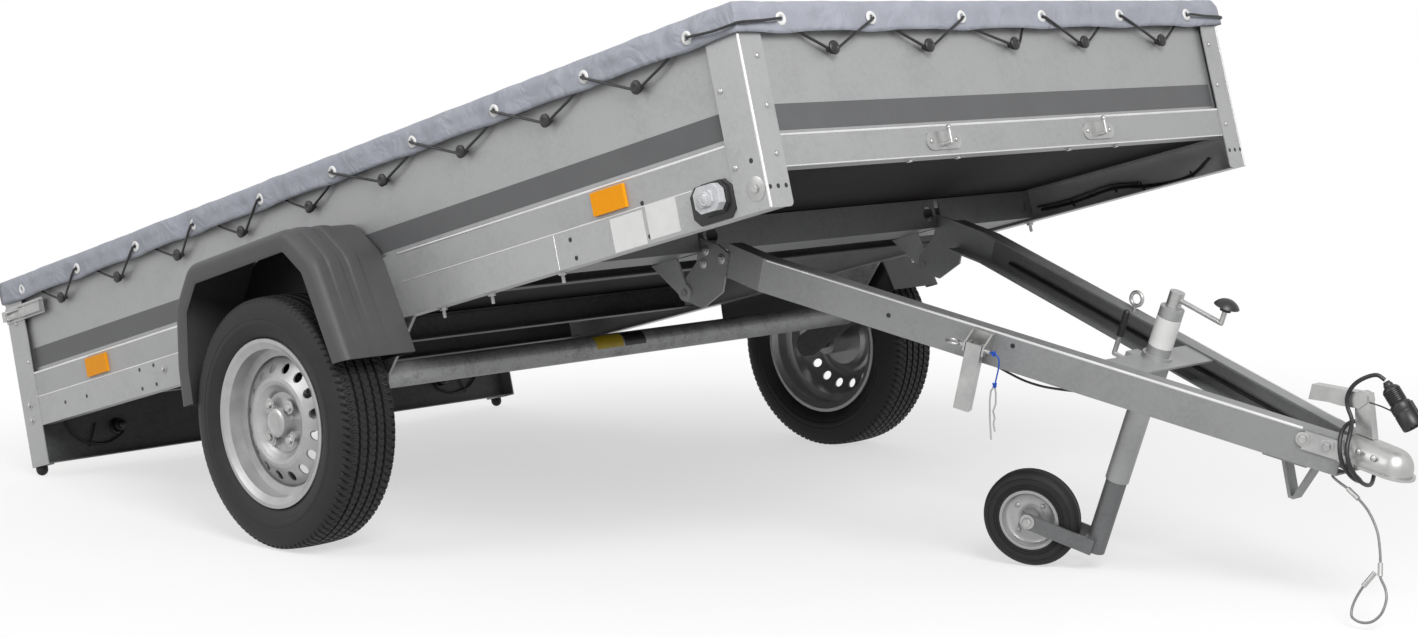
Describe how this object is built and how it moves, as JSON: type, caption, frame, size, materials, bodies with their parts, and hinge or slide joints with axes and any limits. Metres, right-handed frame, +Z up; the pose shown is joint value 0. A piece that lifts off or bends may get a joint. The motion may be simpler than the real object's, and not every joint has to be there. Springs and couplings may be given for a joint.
{
  "type": "tipping utility trailer",
  "caption": "Single-axle utility trailer with a tipping galvanised box bed, laced flat cover, drop tailgate, A-frame drawbar, ball coupling and jockey wheel.",
  "frame": {"origin": "on the ground under the middle of the standing trailer's box", "axes": "+X forward to the coupling, +Y to the left, +Z up"},
  "size_m": [3.5876, 1.915, 1.1433],
  "materials": {
    "galvanised": "spangled zinc coating, satin",
    "zinc": "bright zinc plate",
    "plywood": "dark film-faced plywood",
    "cover_fabric": "coated tarpaulin",
    "tyre_rubber": "matt rubber",
    "rubber": "matt rubber",
    "rim_silver": "silver paint",
    "grey_plastic": "grained",
    "black_plastic": "satin",
    "amber": "ribbed reflector",
    "clear_lens": "clear ribbed lens",
    "red_lens": "ribbed lens",
    "blue_cord": "braided cord"
  },
  "bodies": {
    "chassis": {"floor_panel": "plywood", "side_panel_left": "galvanised", "side_panel_right": "galvanised", "front_panel": "galvanised", "front_posts": "galvanised", "rear_posts": "galvanised", "side_rails": "galvanised", "front_crossbeam": "galvanised", "crossmembers": "galvanised", "light_bar": "galvanised", "axle_beam": "galvanised", "trailing_arms": "galvanised", "mudguard_left": "grey_plastic", "mudguard_right": "grey_plastic", "hinge_arms": "galvanised", "marker_lamps": "clear_lens", "side_reflectors": "amber", "rear_lamps": "red_lens", "tail_buffers": "rubber", "lacing_hooks": "black_plastic", "rope_hooks": "zinc", "latches": "zinc", "gate_lugs": "galvanised", "cover": "cover_fabric", "cover_rear_flap": "cover_fabric"},
    "tailgate": {"tailgate": "galvanised", "gate_hooks": "black_plastic"},
    "wheel_left": {"tyre_left": "tyre_rubber", "rim_left": "rim_silver"},
    "wheel_right": {"tyre_right": "tyre_rubber", "rim_right": "rim_silver"},
    "jack_nut": {"jack_nut": "galvanised"},
    "jack_leg": {"jack_leg": "galvanised"},
    "jockey_wheel": {"jockey_tyre": "tyre_rubber", "jockey_rim": "galvanised"},
    "drawbar": {"beam_left": "galvanised", "beam_right": "galvanised", "hinge_plates": "galvanised", "cross_brace": "galvanised", "coupling": "zinc", "coupling_handle": "zinc", "jack_tube": "galvanised", "jack_crank": "zinc", "crank_knob": "black_plastic", "clamp_lever": "zinc", "clamp_grip": "black_plastic", "tilt_lock": "zinc", "eye_bolt": "zinc", "rest_strap": "galvanised", "beam_wiring": "black_plastic", "plug": "black_plastic", "plug_cable": "black_plastic", "safety_cable": "zinc", "lanyard": "blue_cord", "spring_clip": "zinc"}
  },
  "joints": [
    {"name": "left_wheel_spin", "type": "hinge", "parent": "chassis", "child": "wheel_left", "pos_m": [-0.3885, 0.88, 0.2735], "axis": [0, 1, 0], "continuous": true},
    {"name": "right_wheel_spin", "type": "hinge", "parent": "chassis", "child": "wheel_right", "pos_m": [-0.3885, -0.88, 0.2735], "axis": [0, 1, 0], "continuous": true},
    {"name": "tailgate_hinge", "type": "hinge", "parent": "chassis", "child": "tailgate", "pos_m": [-1.69243, 0, 0.19574], "axis": [0, -1, 0], "range_deg": [0, 110], "deforming": ["cover_rear_flap"]},
    {"name": "bed_tilt", "type": "hinge", "parent": "chassis", "child": "drawbar", "pos_m": [0.32497, 0, 0.5493], "axis": [0, -1, 0], "range_deg": [0, 29.2]},
    {"name": "jack_slide", "type": "slide", "parent": "drawbar", "child": "jack_nut", "axis": [-0.3535, 0, -0.9354], "range_m": [-0.105, 0.1]},
    {"name": "jack_swivel", "type": "hinge", "parent": "jack_nut", "child": "jack_leg", "pos_m": [1.08613, 0, 0.05485], "axis": [0.3535, 0, 0.9354], "continuous": true},
    {"name": "jockey_spin", "type": "hinge", "parent": "jack_leg", "child": "jockey_wheel", "pos_m": [0.96387, -0.05017, 0.10105], "axis": [-0.3352, 0.9336, 0.1267], "continuous": true}
  ]
}
